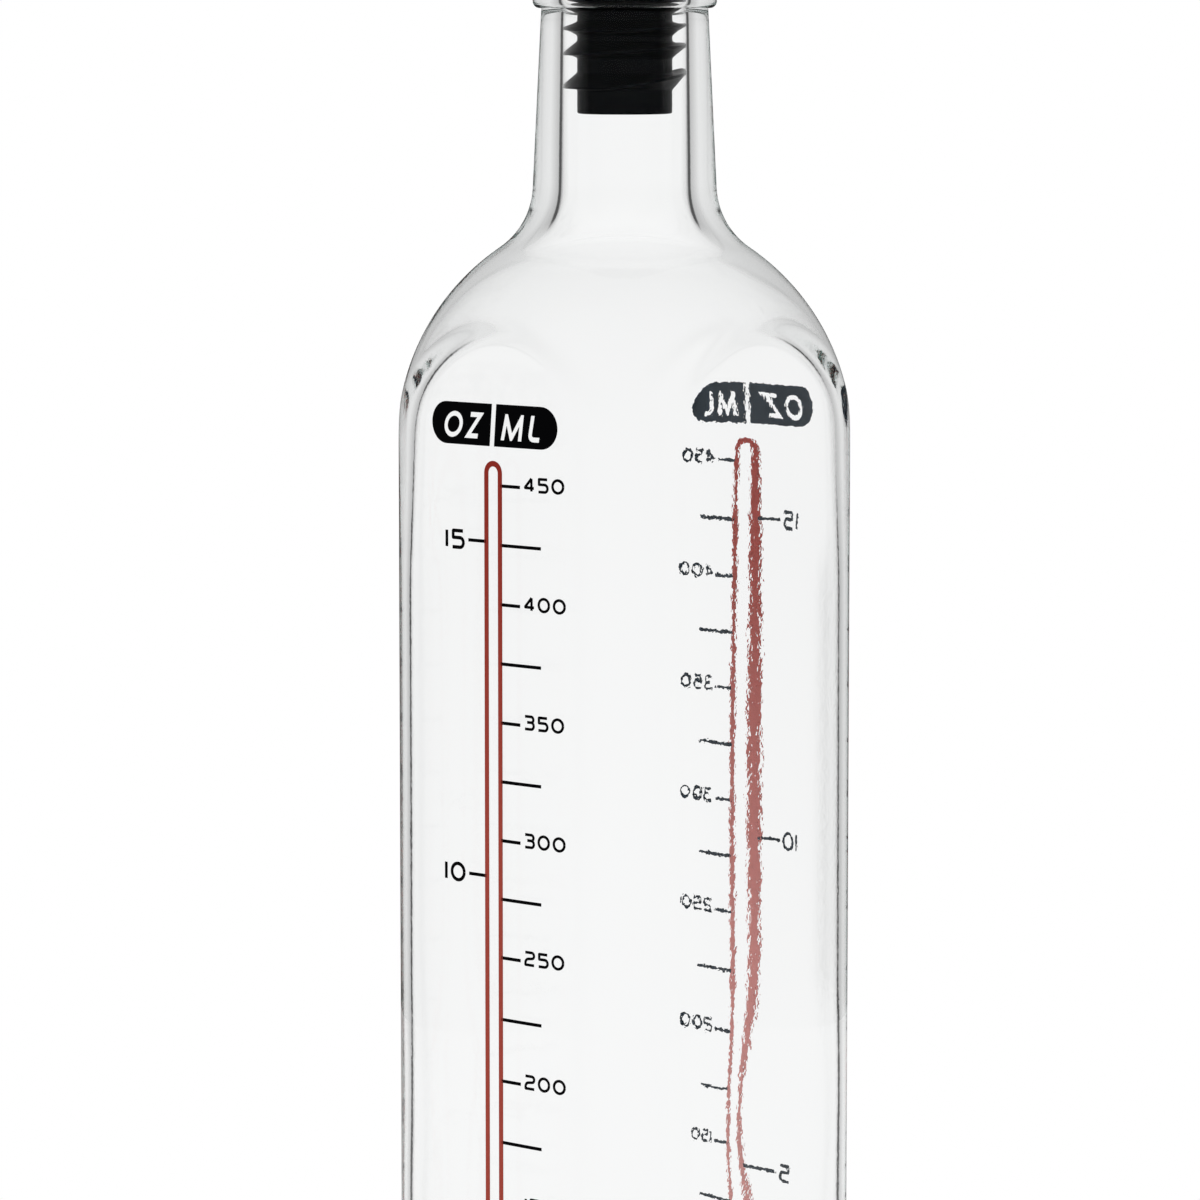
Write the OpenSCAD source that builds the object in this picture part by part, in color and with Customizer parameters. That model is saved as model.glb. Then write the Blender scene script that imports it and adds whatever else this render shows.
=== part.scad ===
// Square glass oil cruet with a printed measuring scale and a lift-out pourer.
// The origin is the middle of the base and +Z is up. The two printed faces look
// along -Y and +Y, and the spout leans towards +X. Sizes are in millimetres.

/* [Bottle] */
// Width of the square body across two flat faces
body_w = 60; // [56:1:68]
// Radius of the upright corners of the body
corner_r = 16.2; // [14:0.1:19]
// Radius of the edge between the sides and the base
heel_r = 5; // [3:0.5:6]
// Height of the glass from its base to the top of its lip
glass_h = 254; // [246:1:270]
// Thickness of the side walls
wall = 3.3; // [2.6:0.1:3.8]
// Thickness of the base near the walls
base_t = 6.5; // [5:0.5:9]
// Rise of the inner floor from the walls to its middle
floor_rise = 2; // [1:0.5:4]
// Depth of the shallow hollow under the base
punt_depth = 1.2; // [0.6:0.2:2]
// Radius of the hollow under the base
punt_r = 20; // [15:1:22]

/* [Shoulder and neck] */
// Depth of the centre of the shoulder's round below the top of the lip
shoulder_depth = 75; // [70:1:84]
// How far that centre lies past the axis of the bottle
shoulder_shift = 1.2; // [0.6:0.2:2.4]
// Outer radius of the neck just below the lip
neck_r = 13.05; // [12.6:0.05:14]
// Slope of the outside of the neck, in degrees from upright
neck_slope_deg = 2.8; // [1:0.2:4]
// Radius of the outer hollow between shoulder and neck
neck_fillet_r = 12; // [8:1:16]
// Radius of the bore of the neck
bore_r = 9.65; // [9.2:0.05:10]
// Radius of the inner curve between bore and shoulder
bore_fillet_r = 16; // [12:1:20]
// Outer radius of the lip bead
bead_r = 14.4; // [14.2:0.1:16]
// Height of the lip bead
bead_h = 7; // [5:0.5:9]
// Radius of the lower edge of the lip bead
bead_edge_r = 1.1; // [0.6:0.1:1.5]
// Radius of the upper edge of the lip bead
lip_edge_r = 2; // [1:0.5:2.5]
// Radius of the edge between the lip and the bore
mouth_edge_r = 0.6; // [0.3:0.1:0.8]

/* [Printed scale] */
// Thickness of the printed ink
ink_t = 0.06; // [0.04:0.01:0.2]
// Height of the lowest graduation above the base
low_mark_z = 23.28; // [20:0.02:28]
// Height of one graduation step in the upper half
upper_step = 9.16; // [8.8:0.02:9.4]
// Height of one graduation step in the lower half
lower_step = 9.68; // [9:0.02:9.9]
// Height above the centre of the shoulder's round that the print may reach
print_rise = 8; // [7:0.1:9]
// Thickness of a graduation mark
mark_t = 0.52; // [0.3:0.02:0.8]
// Distance from the middle of the tube to the end of a numbered mark
numbered_mark_reach = 5.65; // [4:0.05:7]
// Distance from the middle of the tube to the end of a plain mark
plain_mark_reach = 9.95; // [8:0.05:11]
// Distance from the middle of the tube to the end of an ounce mark
ounce_mark_reach = 5.3; // [4:0.05:7]
// Outer width of the printed tube
tube_w = 3.75; // [3:0.05:5]
// Width of the line that draws the tube
tube_line = 0.88; // [0.5:0.02:1.2]
// Height of the rounded top of the tube above the topmost mark
tube_head = 3.8; // [3:0.1:4.5]
// Length of the tube below the lowest mark
tube_tail = 9; // [4:0.5:11]
// Width of the badge that holds the names of the units
badge_w = 26.5; // [24:0.1:27]
// Height of the badge
badge_h = 6.55; // [5:0.05:7]
// Gap between the tube and the badge
badge_gap = 2.2; // [1.5:0.1:3]
// Width of the slot between the two halves of the badge
badge_slot = 0.9; // [0.5:0.1:1.5]
// Lean of that slot, in degrees
badge_slot_lean_deg = 4.5; // [0:0.5:12]

/* [Stopper] */
// Depth that the stopper reaches below the lip
stopper_depth = 23.6; // [20:0.2:30]
// Outer radius of the stopper's tube
stopper_r = 7.45; // [7.2:0.05:8]
// Gap between the sealing fins and the bore
fin_gap = 0.08; // [0.03:0.01:0.15]
// Thickness of a fin where it leaves the tube
fin_root_t = 2.6; // [2:0.1:3]
// Thickness of a fin at its edge
fin_edge_t = 0.4; // [0.3:0.05:0.8]
// Gap between the collar under the flange and the bore
collar_gap = 0.3; // [0.2:0.05:0.5]
// Height of that collar
collar_h = 3.4; // [2:0.2:3.6]
// Radius of the flange that rests on the lip
flange_r = 12.3; // [11.8:0.1:13]
// Thickness of the flange
flange_t = 2.4; // [1.5:0.1:4]

/* [Spout] */
// Outer radius of the spout tube
spout_r = 4; // [3.6:0.1:4.2]
// Wall of the spout tube
spout_wall = 0.4; // [0.3:0.1:0.6]
// Height of the upright part of the tube above its base cap
spout_rise = 9; // [8:0.5:14]
// Radius of the bend, at the middle of the tube
bend_r = 35; // [28:1:45]
// Lean of the mouth from upright, in degrees
lean_deg = 42; // [30:1:55]
// Thickness of the base cap's plate
cap_t = 1.1; // [0.8:0.1:2]
// How far the base cap reaches past the flange
cap_rim = 0.4; // [0.2:0.1:0.8]
// Height of the cone of the base cap
cone_h = 6; // [4:0.5:7]
// Radius of the foot of the cone
cone_r = 7.6; // [7.2:0.1:8.2]
// Wall of the cone where it meets the tube
cone_wall = 0.7; // [0.5:0.1:1]
// Outer radius of the vent tube
vent_r = 1.2; // [1:0.05:1.25]
// Wall of the vent tube
vent_wall = 0.3; // [0.2:0.05:0.4]
// Gap between the vent tube and the spout tube
vent_gap = 0.4; // [0.3:0.05:0.5]
// Height of the vent tube above the plate of the base cap
vent_rise = 8; // [7.5:0.5:12]

/* [Flap] */
// Radius of the hinge pin
pin_r = 0.8; // [0.7:0.05:1]
// Running gap between the pin and the barrel of the lid
pin_gap = 0.05; // [0.03:0.01:0.08]
// Height of the pin's middle above the wall of the spout tube
pin_lift = 2.2; // [2.1:0.1:2.8]
// Wall of the barrel round the pin
barrel_wall = 0.8; // [0.7:0.05:0.9]
// Width of the barrel along the pin
barrel_w = 4.6; // [4:0.1:5]
// Gap between the barrel and each ear
ear_gap = 0.2; // [0.1:0.05:0.3]
// Thickness of each ear
ear_t = 0.8; // [0.6:0.1:1]
// Length of the ears' foot along the spout tube
foot_len = 6; // [5:0.5:8]
// Thickness of the saddle plate between the ears
saddle_t = 0.5; // [0.4:0.05:0.6]
// Radius of the heads of the pin
pin_head_r = 1.3; // [1.2:0.05:1.5]
// Thickness of each head of the pin
pin_head_t = 0.5; // [0.3:0.1:0.8]
// Thickness of the lid
lid_t = 0.9; // [0.7:0.1:1.2]
// How far the lid reaches past the spout tube
lid_rim = 0.4; // [0.2:0.1:0.6]
// Gap under the closed lid
lid_gap = 0.08; // [0.04:0.02:0.15]
// Angle by which the lid opens before its tab meets the saddle, in degrees
open_deg = 80; // [60:1:85]
// Length of the thumb tab from the middle of the pin
tab_len = 4.5; // [4:0.1:5.5]
// Gap left between the tab and the saddle when the lid is open
stop_gap = 0.1; // [0.05:0.05:0.3]
// Radius of the ball that weighs the lid down
ball_r = 2.6; // [2:0.1:3]
// Depth that the ball is flattened where it sits on the lid
ball_flat = 0.4; // [0.3:0.1:0.8]
// Radius of the ball's rivet through the lid
rivet_r = 0.9; // [0.7:0.1:1.2]

/* [Hidden] */
$fn = 96;

// Extra length that lets a cut pass clear through a face
overrun = 1;
// Angle between two neighbouring points of a curve that is worked out
arc_step_deg = 4;
// Small allowance that keeps the revolved outline just outside the corners
corner_allowance = 0.15;

// Volumes of the lowest graduation, of the middle one and between two, in millilitres
low_ml = 50;
split_ml = 250;
step_ml = 25;
// One imperial fluid ounce, in millilitres
ounce_ml = 28.413;
// Ounces between two ounce marks
ounce_step = 5;

// Places of the sealing fins, as shares of the stopper's depth
fin_depth_shares = [0.255, 0.432, 0.58, 0.788];

half_w = body_w / 2;
corner_reach = (half_w - corner_r) * sqrt(2) + corner_r;
body_r = corner_reach + corner_allowance;
shoulder_r = body_r + shoulder_shift;
shoulder_z = glass_h - shoulder_depth;
shoulder_centre = [-shoulder_shift, shoulder_z];
bead_z = glass_h - bead_h;

// The scale has as many graduations as fit under the badge and the shoulder
split_steps = (split_ml - low_ml) / step_ml;
split_z = low_mark_z + split_steps * lower_step;
top_limit_z = shoulder_z + print_rise - badge_h - badge_gap - tube_head;
steps = top_limit_z >= split_z
    ? split_steps + floor((top_limit_z - split_z) / upper_step)
    : floor((top_limit_z - low_mark_z) / lower_step);
top_ml = low_ml + steps * step_ml;
tube_top_z = mark_z(top_ml) + tube_head;
badge_z = tube_top_z + badge_gap + badge_h / 2;

stopper_z = glass_h - stopper_depth;
fin_r = bore_r - fin_gap;
cap_z = glass_h + flange_t;
cone_z = cap_z + cap_t;
bend_z = cone_z + spout_rise;
vent_x = -(spout_r + vent_gap + vent_r);

// Places beside the mouth of the spout, in the frame of the leaning tip
pin_x = -(spout_r + pin_lift);
pin_z = lid_gap + lid_t / 2;
barrel_r = pin_r + pin_gap + barrel_wall;
ear_y = barrel_w / 2 + ear_gap;
lid_r = spout_r + lid_rim;
ear_r = barrel_r;

// Lean of the open tab towards the tube, at which its tip is a gap from the saddle
tab_drop = pin_lift - saddle_t - stop_gap;
tab_lean_deg = asin(tab_drop / norm([tab_len, lid_t / 2])) - atan2(lid_t / 2, tab_len);
tab_angle_deg = 270 + tab_lean_deg - open_deg;

// Points along a round, from one angle to another
function arc(centre, r, from_deg, to_deg) =
    let (n = max(2, ceil(abs(to_deg - from_deg) / arc_step_deg)))
    [for (i = [0:n])
        let (a = from_deg + (to_deg - from_deg) * i / n)
        centre + r * [cos(a), sin(a)]];

// Centre of a hollow round that touches a shoulder round from outside and a
// neck line that starts at a point and widens downwards by an angle
function hollow_centre(start, slope_deg, hollow_r, round_r) =
    let (
        down = [sin(slope_deg), -cos(slope_deg)],
        outward = [cos(slope_deg), sin(slope_deg)],
        from_round = start + hollow_r * outward - shoulder_centre,
        along = from_round * down,
        reach = round_r + hollow_r,
        depth = -along - sqrt(along * along - from_round * from_round + reach * reach)
    )
    start + depth * down + hollow_r * outward;

// Angle at which the centre of a hollow is seen from the shoulder's centre
function meeting_deg(centre) =
    let (d = centre - shoulder_centre)
    atan2(d[1], d[0]);

// Height of a graduation above the base
function mark_z(ml) = ml >= split_ml
    ? split_z + (ml - split_ml) / step_ml * upper_step
    : low_mark_z + (ml - low_ml) / step_ml * lower_step;

module rounded_square(w, r) {
    square([w, w - 2 * r], center = true);
    square([w - 2 * r, w], center = true);
    for (x = [-1, 1], y = [-1, 1]) {
        translate([x * (w / 2 - r), y * (w / 2 - r)]) circle(r);
    }
}

// Side view of a block whose two lower edges are rounded
module heeled_square(w, h, r) {
    translate([-w / 2, r]) square([w, h - r]);
    translate([r - w / 2, 0]) square([w - 2 * r, h]);
    for (x = [-1, 1]) {
        translate([x * (w / 2 - r), r]) circle(r);
    }
}

// Upright block with round corners and rounded lower edges
module square_blank(w, side_r, edge_r, bottom, top) {
    translate([0, 0, bottom]) {
        intersection() {
            linear_extrude(top - bottom) rounded_square(w, side_r);
            rotate([90, 0, 0]) linear_extrude(w, center = true) {
                heeled_square(w, top - bottom, edge_r);
            }
            rotate([90, 0, 90]) linear_extrude(w, center = true) {
                heeled_square(w, top - bottom, edge_r);
            }
        }
    }
}

// Outside of the glass, as it would be if the body were round
module outer_outline() {
    neck_top = [neck_r, bead_z];
    hollow = hollow_centre(neck_top, neck_slope_deg, neck_fillet_r, shoulder_r);
    meet = meeting_deg(hollow);
    polygon(concat(
        [[0, 0]],
        arc([body_r - heel_r, heel_r], heel_r, -90, 0),
        arc(shoulder_centre, shoulder_r, 0, meet),
        arc(hollow, neck_fillet_r, 180 + meet, 180 + neck_slope_deg),
        [neck_top],
        arc([bead_r - bead_edge_r, bead_z + bead_edge_r], bead_edge_r, -90, 0),
        arc([bead_r - lip_edge_r, glass_h - lip_edge_r], lip_edge_r, 0, 90),
        [[0, glass_h]]
    ));
}

// Inside of the glass, drawn the same way
module inner_outline() {
    inner_r = body_r - wall;
    edge_r = heel_r;
    floor_r = inner_r - edge_r;
    floor_round_r = (floor_r * floor_r + floor_rise * floor_rise) / (2 * floor_rise);
    floor_deg = asin(floor_r / floor_round_r);
    round_r = shoulder_r - wall;
    hollow = hollow_centre([bore_r, glass_h], 0, bore_fillet_r, round_r);
    meet = meeting_deg(hollow);
    polygon(concat(
        arc([0, base_t + floor_rise - floor_round_r], floor_round_r, 90, 90 - floor_deg),
        arc([floor_r, base_t + edge_r], edge_r, -90, 0),
        arc(shoulder_centre, round_r, 0, meet),
        arc(hollow, bore_fillet_r, 180 + meet, 180),
        arc([bore_r + mouth_edge_r, glass_h - mouth_edge_r], mouth_edge_r, 180, 90),
        [[bore_r + mouth_edge_r, glass_h + overrun], [0, glass_h + overrun]]
    ));
}

// Spherical hollow under the base
module punt_cut() {
    round_r = (punt_r * punt_r + punt_depth * punt_depth) / (2 * punt_depth);
    translate([0, 0, punt_depth - round_r]) sphere(round_r);
}

module bottle() {
    color("azure", 0.35) {
        difference() {
            intersection() {
                square_blank(body_w, corner_r, heel_r, 0, glass_h + overrun);
                rotate_extrude() outer_outline();
            }
            intersection() {
                square_blank(body_w - 2 * wall, corner_r - wall, heel_r, base_t, glass_h + 2 * overrun);
                rotate_extrude() inner_outline();
            }
            punt_cut();
        }
    }
}

// Lays a flat drawing as ink on the face that looks along -Y or +Y
module on_face(turn_deg) {
    rotate([0, 0, turn_deg]) translate([0, -half_w, 0]) rotate([90, 0, 0]) linear_extrude(ink_t) {
        children();
    }
}

module tube_shape(w) {
    foot_z = mark_z(low_ml) - tube_tail;
    inset = (tube_w - w) / 2;
    translate([0, foot_z + tube_w / 2]) circle(w / 2);
    translate([0, tube_top_z - tube_w / 2]) circle(w / 2);
    translate([-w / 2, foot_z + w / 2 + inset]) square([w, tube_top_z - foot_z - tube_w]);
}

// Red outline of a tall tube, like that of a thermometer
module scale_tube(turn_deg) {
    color("firebrick") on_face(turn_deg) difference() {
        tube_shape(tube_w);
        tube_shape(tube_w - 2 * tube_line);
    }
}

// One graduation, from the tube outwards to one side
module graduation(z, reach, side) {
    translate([side * (reach + tube_w / 2) / 2, z]) {
        square([reach - tube_w / 2, mark_t], center = true);
    }
}

// Black graduations: millilitres on one side of the tube and ounces on the other
module scale_marks(turn_deg) {
    color("black") on_face(turn_deg) {
        for (ml = [low_ml:step_ml:top_ml]) {
            numbered = ml % (2 * step_ml) == 0;
            graduation(mark_z(ml), numbered ? numbered_mark_reach : plain_mark_reach, 1);
        }
        for (ounces = [ounce_step:ounce_step:top_ml / ounce_ml]) {
            graduation(mark_z(ounces * ounce_ml), ounce_mark_reach, -1);
        }
    }
}

// Black badge in two halves, one for each unit
module unit_badge(turn_deg) {
    color("black") on_face(turn_deg) translate([0, badge_z]) difference() {
        union() {
            square([badge_w - badge_h, badge_h], center = true);
            for (x = [-1, 1]) {
                translate([x * (badge_w - badge_h) / 2, 0]) circle(badge_h / 2);
            }
        }
        rotate(-badge_slot_lean_deg) square([badge_slot, 2 * badge_h], center = true);
    }
}

module front_scale_tube() {
    scale_tube(0);
}

module front_scale_marks() {
    scale_marks(0);
}

module front_unit_badge() {
    unit_badge(0);
}

module back_scale_tube() {
    scale_tube(180);
}

module back_scale_marks() {
    scale_marks(180);
}

module back_unit_badge() {
    unit_badge(180);
}

// Soft black stopper: a tube with sealing fins, a collar and a flange
module stopper_sleeve() {
    collar_z = glass_h - collar_h;
    color("#1a1a1a") difference() {
        rotate_extrude() {
            translate([0, stopper_z]) square([stopper_r, stopper_depth]);
            translate([0, collar_z]) square([bore_r - collar_gap, collar_h]);
            translate([0, glass_h]) square([flange_r, flange_t]);
            for (share = fin_depth_shares) {
                translate([0, glass_h - share * stopper_depth]) {
                    polygon([
                        [0, -fin_root_t / 2],
                        [stopper_r, -fin_root_t / 2],
                        [fin_r, -fin_edge_t / 2],
                        [fin_r, fin_edge_t / 2],
                        [stopper_r, fin_root_t / 2],
                        [0, fin_root_t / 2]
                    ]);
                }
            }
        }
        translate([0, 0, stopper_z - overrun]) {
            cylinder(r = spout_r, h = stopper_depth + flange_t + 2 * overrun);
            translate([vent_x, 0, 0]) cylinder(r = vent_r, h = stopper_depth + flange_t + 2 * overrun);
        }
    }
}

// Steel cap over the flange, with a cone that grips the spout tube
module spout_base() {
    cap_r = flange_r + cap_rim;
    color("silver") difference() {
        rotate_extrude() polygon([
            [0, cap_z],
            [cap_r, cap_z],
            [cap_r, cap_z + cap_t / 2],
            [cap_r - cap_t / 2, cone_z],
            [cone_r, cone_z],
            [spout_r + cone_wall, cone_z + cone_h],
            [0, cone_z + cone_h]
        ]);
        translate([0, 0, cap_z - overrun]) {
            cylinder(r = spout_r, h = cap_t + cone_h + 2 * overrun);
            translate([vent_x, 0, 0]) cylinder(r = vent_r, h = cap_t + cone_h + 2 * overrun);
        }
    }
}

// Frame of the mouth: its origin is the middle of the cut end, Z points out of
// the tube, and the hinge lies on the side of -X
module at_tip() {
    translate([bend_r, 0, bend_z]) rotate([0, lean_deg, 0]) translate([-bend_r, 0, 0]) children();
}

// Part of a ring of round wire, from the top of the upright tube to the mouth
module bend(r) {
    translate([bend_r, 0, bend_z]) rotate([90, 0, 180]) rotate_extrude(angle = lean_deg) {
        translate([bend_r, 0]) difference() {
            circle(r);
            children();
        }
    }
}

// Upright tube that bends over to the mouth
module spout_tube() {
    color("silver") {
        translate([0, 0, stopper_z]) linear_extrude(bend_z - stopper_z) difference() {
            circle(spout_r);
            circle(spout_r - spout_wall);
        }
        bend(spout_r) circle(spout_r - spout_wall);
    }
}

module vent_tube() {
    vent_h = cone_z + vent_rise - stopper_z;
    color("silver") translate([vent_x, 0, stopper_z]) difference() {
        cylinder(r = vent_r, h = vent_h);
        translate([0, 0, -overrun]) cylinder(r = vent_r - vent_wall, h = vent_h + 2 * overrun);
    }
}

// Cylinder along the hinge axis
module along_pin(r, len) {
    translate([pin_x, 0, pin_z]) rotate([90, 0, 0]) cylinder(r = r, h = len, center = true);
}

// Outline of one ear, seen along the pin
module ear_outline() {
    foot_x = -(spout_r - ear_t);
    polygon([
        [foot_x, -ear_r - foot_len],
        [foot_x, -ear_r],
        [pin_x + ear_r, pin_z],
        [pin_x - ear_r, pin_z],
        [-(spout_r + saddle_t), -ear_r - foot_len]
    ]);
    translate([pin_x, pin_z]) circle(ear_r);
}

// Saddle soldered on the spout tube, with two ears that carry the pin
module hinge_bracket() {
    plate_w = 2 * (ear_y + ear_t);
    color("silver") difference() {
        at_tip() {
            for (y = [-ear_y - ear_t, ear_y]) {
                translate([0, y + ear_t, 0]) rotate([90, 0, 0]) linear_extrude(ear_t) ear_outline();
            }
            translate([-(spout_r + saddle_t), -plate_w / 2, -ear_r - foot_len]) {
                cube([spout_r, plate_w, foot_len]);
            }
        }
        bend(spout_r);
        at_tip() along_pin(pin_r, plate_w + 2 * overrun);
    }
}

module hinge_pin() {
    pin_len = 2 * (ear_y + ear_t + pin_head_t);
    color("silver") at_tip() {
        along_pin(pin_r, pin_len);
        for (y = [-1, 1]) {
            translate([0, y * (pin_len - pin_head_t) / 2, 0]) along_pin(pin_head_r, pin_head_t);
        }
    }
}

// Round lid with a tongue to its barrel and a thumb tab behind it
module flap_lid() {
    color("silver") at_tip() difference() {
        union() {
            translate([0, 0, lid_gap]) cylinder(r = lid_r, h = lid_t);
            translate([pin_x, -barrel_w / 2, lid_gap]) cube([-pin_x, barrel_w, lid_t]);
            along_pin(barrel_r, barrel_w);
            translate([pin_x, 0, pin_z]) rotate([0, -tab_angle_deg, 0]) {
                translate([0, -barrel_w / 2, -lid_t / 2]) cube([tab_len, barrel_w, lid_t]);
            }
        }
        along_pin(pin_r + pin_gap, barrel_w + 2 * overrun);
        translate([0, 0, lid_gap - overrun]) cylinder(r = rivet_r, h = lid_t + 2 * overrun);
    }
}

// Ball riveted on the lid, which closes it when the bottle stands up
module flap_weight() {
    ball_z = lid_gap + lid_t + ball_r - ball_flat;
    color("silver") at_tip() {
        difference() {
            translate([0, 0, ball_z]) sphere(ball_r);
            translate([0, 0, lid_gap + lid_t - ball_r]) cylinder(r = 2 * ball_r, h = ball_r);
        }
        translate([0, 0, lid_gap]) cylinder(r = rivet_r, h = lid_t + ball_r);
    }
}

bottle();
front_scale_tube();
front_scale_marks();
front_unit_badge();
back_scale_tube();
back_scale_marks();
back_unit_badge();
stopper_sleeve();
spout_base();
spout_tube();
vent_tube();
hinge_bracket();
hinge_pin();
flap_lid();
flap_weight();
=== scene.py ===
# %% [markdown]
# A square glass cruet for oil, with a scale printed on two of its faces and a
# black stopper that carries a bent steel spout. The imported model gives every
# piece its place. This lesson dresses it: the glass is rebuilt as one smooth
# sheet, the print gets its numbers, and the rubber and the steel get their looks.

# %% Load the frame
import math

import bmesh
import bpy
import numpy as np
from mathutils import Matrix, Vector


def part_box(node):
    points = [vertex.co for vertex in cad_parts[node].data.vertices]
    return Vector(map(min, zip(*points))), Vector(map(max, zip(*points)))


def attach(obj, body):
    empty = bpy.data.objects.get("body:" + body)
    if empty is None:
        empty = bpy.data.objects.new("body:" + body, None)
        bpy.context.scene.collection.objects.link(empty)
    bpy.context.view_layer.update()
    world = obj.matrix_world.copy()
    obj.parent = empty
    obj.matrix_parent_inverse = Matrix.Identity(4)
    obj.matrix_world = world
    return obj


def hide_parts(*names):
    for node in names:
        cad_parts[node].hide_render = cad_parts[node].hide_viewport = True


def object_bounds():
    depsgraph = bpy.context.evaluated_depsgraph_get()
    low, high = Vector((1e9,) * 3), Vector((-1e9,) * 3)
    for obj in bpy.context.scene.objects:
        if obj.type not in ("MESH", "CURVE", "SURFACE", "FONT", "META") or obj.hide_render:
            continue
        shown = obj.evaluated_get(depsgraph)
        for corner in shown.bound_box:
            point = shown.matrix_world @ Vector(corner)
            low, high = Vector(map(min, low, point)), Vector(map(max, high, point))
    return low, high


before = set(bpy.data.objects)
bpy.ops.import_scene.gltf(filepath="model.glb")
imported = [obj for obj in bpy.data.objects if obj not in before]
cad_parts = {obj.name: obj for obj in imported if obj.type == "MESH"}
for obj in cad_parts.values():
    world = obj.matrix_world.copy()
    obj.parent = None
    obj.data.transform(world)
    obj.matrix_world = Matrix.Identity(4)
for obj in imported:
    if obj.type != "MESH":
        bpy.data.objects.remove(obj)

cad_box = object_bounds()
mm = 0.001

# %% [markdown]
# The photograph looks down a little at one upright edge of the bottle, through
# a long lens, so that upright lines stay upright. The camera is placed by its
# bearing, its tilt and its distance from a point just beside the bottle's axis.
# The base and the spout are outside its frame.

# %% The camera
view_bearing = math.radians(42.27)
view_tilt = math.radians(5.98)
view_distance = 855.7 * mm
aim_height = 153.98 * mm
aim_left = 3.87 * mm
lens_length = 162.38
sensor_width = 36

to_right = Vector((math.cos(view_bearing), math.sin(view_bearing), 0))
to_camera = Vector((
    math.sin(view_bearing) * math.cos(view_tilt),
    -math.cos(view_bearing) * math.cos(view_tilt),
    math.sin(view_tilt),
))
camera_place = Vector((0, 0, aim_height)) + to_camera * view_distance
aim = Vector((0, 0, aim_height)) - to_right * aim_left


def linked(name, data):
    """A new object that holds some data and is linked to the scene."""
    holder = bpy.data.objects.new(name, data)
    bpy.context.scene.collection.objects.link(holder)
    return holder


camera_data = bpy.data.cameras.new("camera")
camera_data.lens = lens_length
camera_data.sensor_width = sensor_width
camera = linked("camera", camera_data)
camera.location = camera_place
camera.rotation_mode = "QUATERNION"
camera.rotation_quaternion = (aim - camera_place).to_track_quat("-Z", "Y")
bpy.context.scene.camera = camera
print("camera at", [round(v, 4) for v in camera_place])

# %% [markdown]
# Shader maths is easier to read as sums than as rows of nodes. A Wire stands
# for one value of a node tree. Adding or multiplying wires makes the Math
# nodes, also with a plain number on either side. Every other node comes from
# one method of the Tree, which takes its kind, its settings and its sockets.

# %% A wire that can be used in sums
class Wire:
    def __init__(self, tree, socket):
        self.tree = tree
        self.socket = socket

    def math(self, operation, *others):
        return self.tree.math(operation, self, *others)

    def __add__(self, other):
        return self.math("ADD", other)

    def __sub__(self, other):
        return self.math("SUBTRACT", other)

    def __rsub__(self, other):
        return self.tree.math("SUBTRACT", other, self)

    def __mul__(self, other):
        return self.math("MULTIPLY", other)

    def __truediv__(self, other):
        return self.math("DIVIDE", other)

    def __abs__(self):
        return self.math("ABSOLUTE")

    def clamp(self):
        return self.math("MAXIMUM", 0).math("MINIMUM", 1)

    __radd__ = __add__
    __rmul__ = __mul__


# %% A tree that adds any node in one call
class Tree:
    def __init__(self, nodes):
        self.nodes = nodes.nodes
        self.links = nodes.links
        self.nodes.clear()

    def add(self, kind, settings=None, sockets=None, output=0):
        """Adds a node, its settings first, and gives back one output or all of them."""
        node = self.nodes.new(kind)
        for name, value in (settings or {}).items():
            if name == "stops":
                set_stops(node.color_ramp, value)
            else:
                setattr(node, name, value)
        for name, value in (sockets or {}).items():
            if isinstance(value, Wire):
                self.links.new(value.socket, node.inputs[name])
            else:
                node.inputs[name].default_value = value
        if output == "all":
            return [Wire(self, socket) for socket in node.outputs]
        return Wire(self, node.outputs[output]) if node.outputs else None

    def math(self, operation, *values):
        return self.add("ShaderNodeMath", {"operation": operation}, dict(enumerate(values)))

    def ramp(self, factor, *stops):
        return self.add("ShaderNodeValToRGB", {"stops": stops}, {"Fac": factor})

    def mix(self, factor, colour, other_colour):
        """Sockets 6, 7 and 2 are the ones for colours, whose names are used more than once."""
        sockets = {"Factor": factor, 6: colour, 7: other_colour}
        return self.add("ShaderNodeMix", {"data_type": "RGBA"}, sockets, output=2)

    def noise(self, place, scale, detail):
        return self.add("ShaderNodeTexNoise", None, {"Vector": place, "Scale": scale, "Detail": detail})

    def bump(self, height, strength, depth):
        sockets = {"Height": height, "Strength": strength, "Distance": depth}
        return self.add("ShaderNodeBump", None, sockets)


def set_stops(ramp, stops):
    for element, (place, colour) in zip(ramp.elements, stops):
        element.position = place
        element.color = (*colour, 1)


def finish_named(name):
    material = bpy.data.materials.new(name)
    material.use_nodes = True
    return material, Tree(material.node_tree)


def linear(code):
    """The linear colour of a colour that is written as six hexadecimal digits."""
    parts = [int(code[i:i + 2], 16) / 255 for i in (0, 2, 4)]
    return tuple(c / 12.92 if c <= 0.04045 else ((c + 0.055) / 1.055) ** 2.4 for c in parts)


print("a written grey of 808080 is", round(linear("808080")[0], 3), "in linear light")

# %% [markdown]
# Clear soda-lime glass. It is nearly colourless across a wall and a little
# green along it, so the tint is an absorption in its volume and not a colour of
# its surface. A blown bottle is smooth outside, where it met the mould, and
# rippled inside. The ripple is a bump that only the inner surface has.

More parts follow.
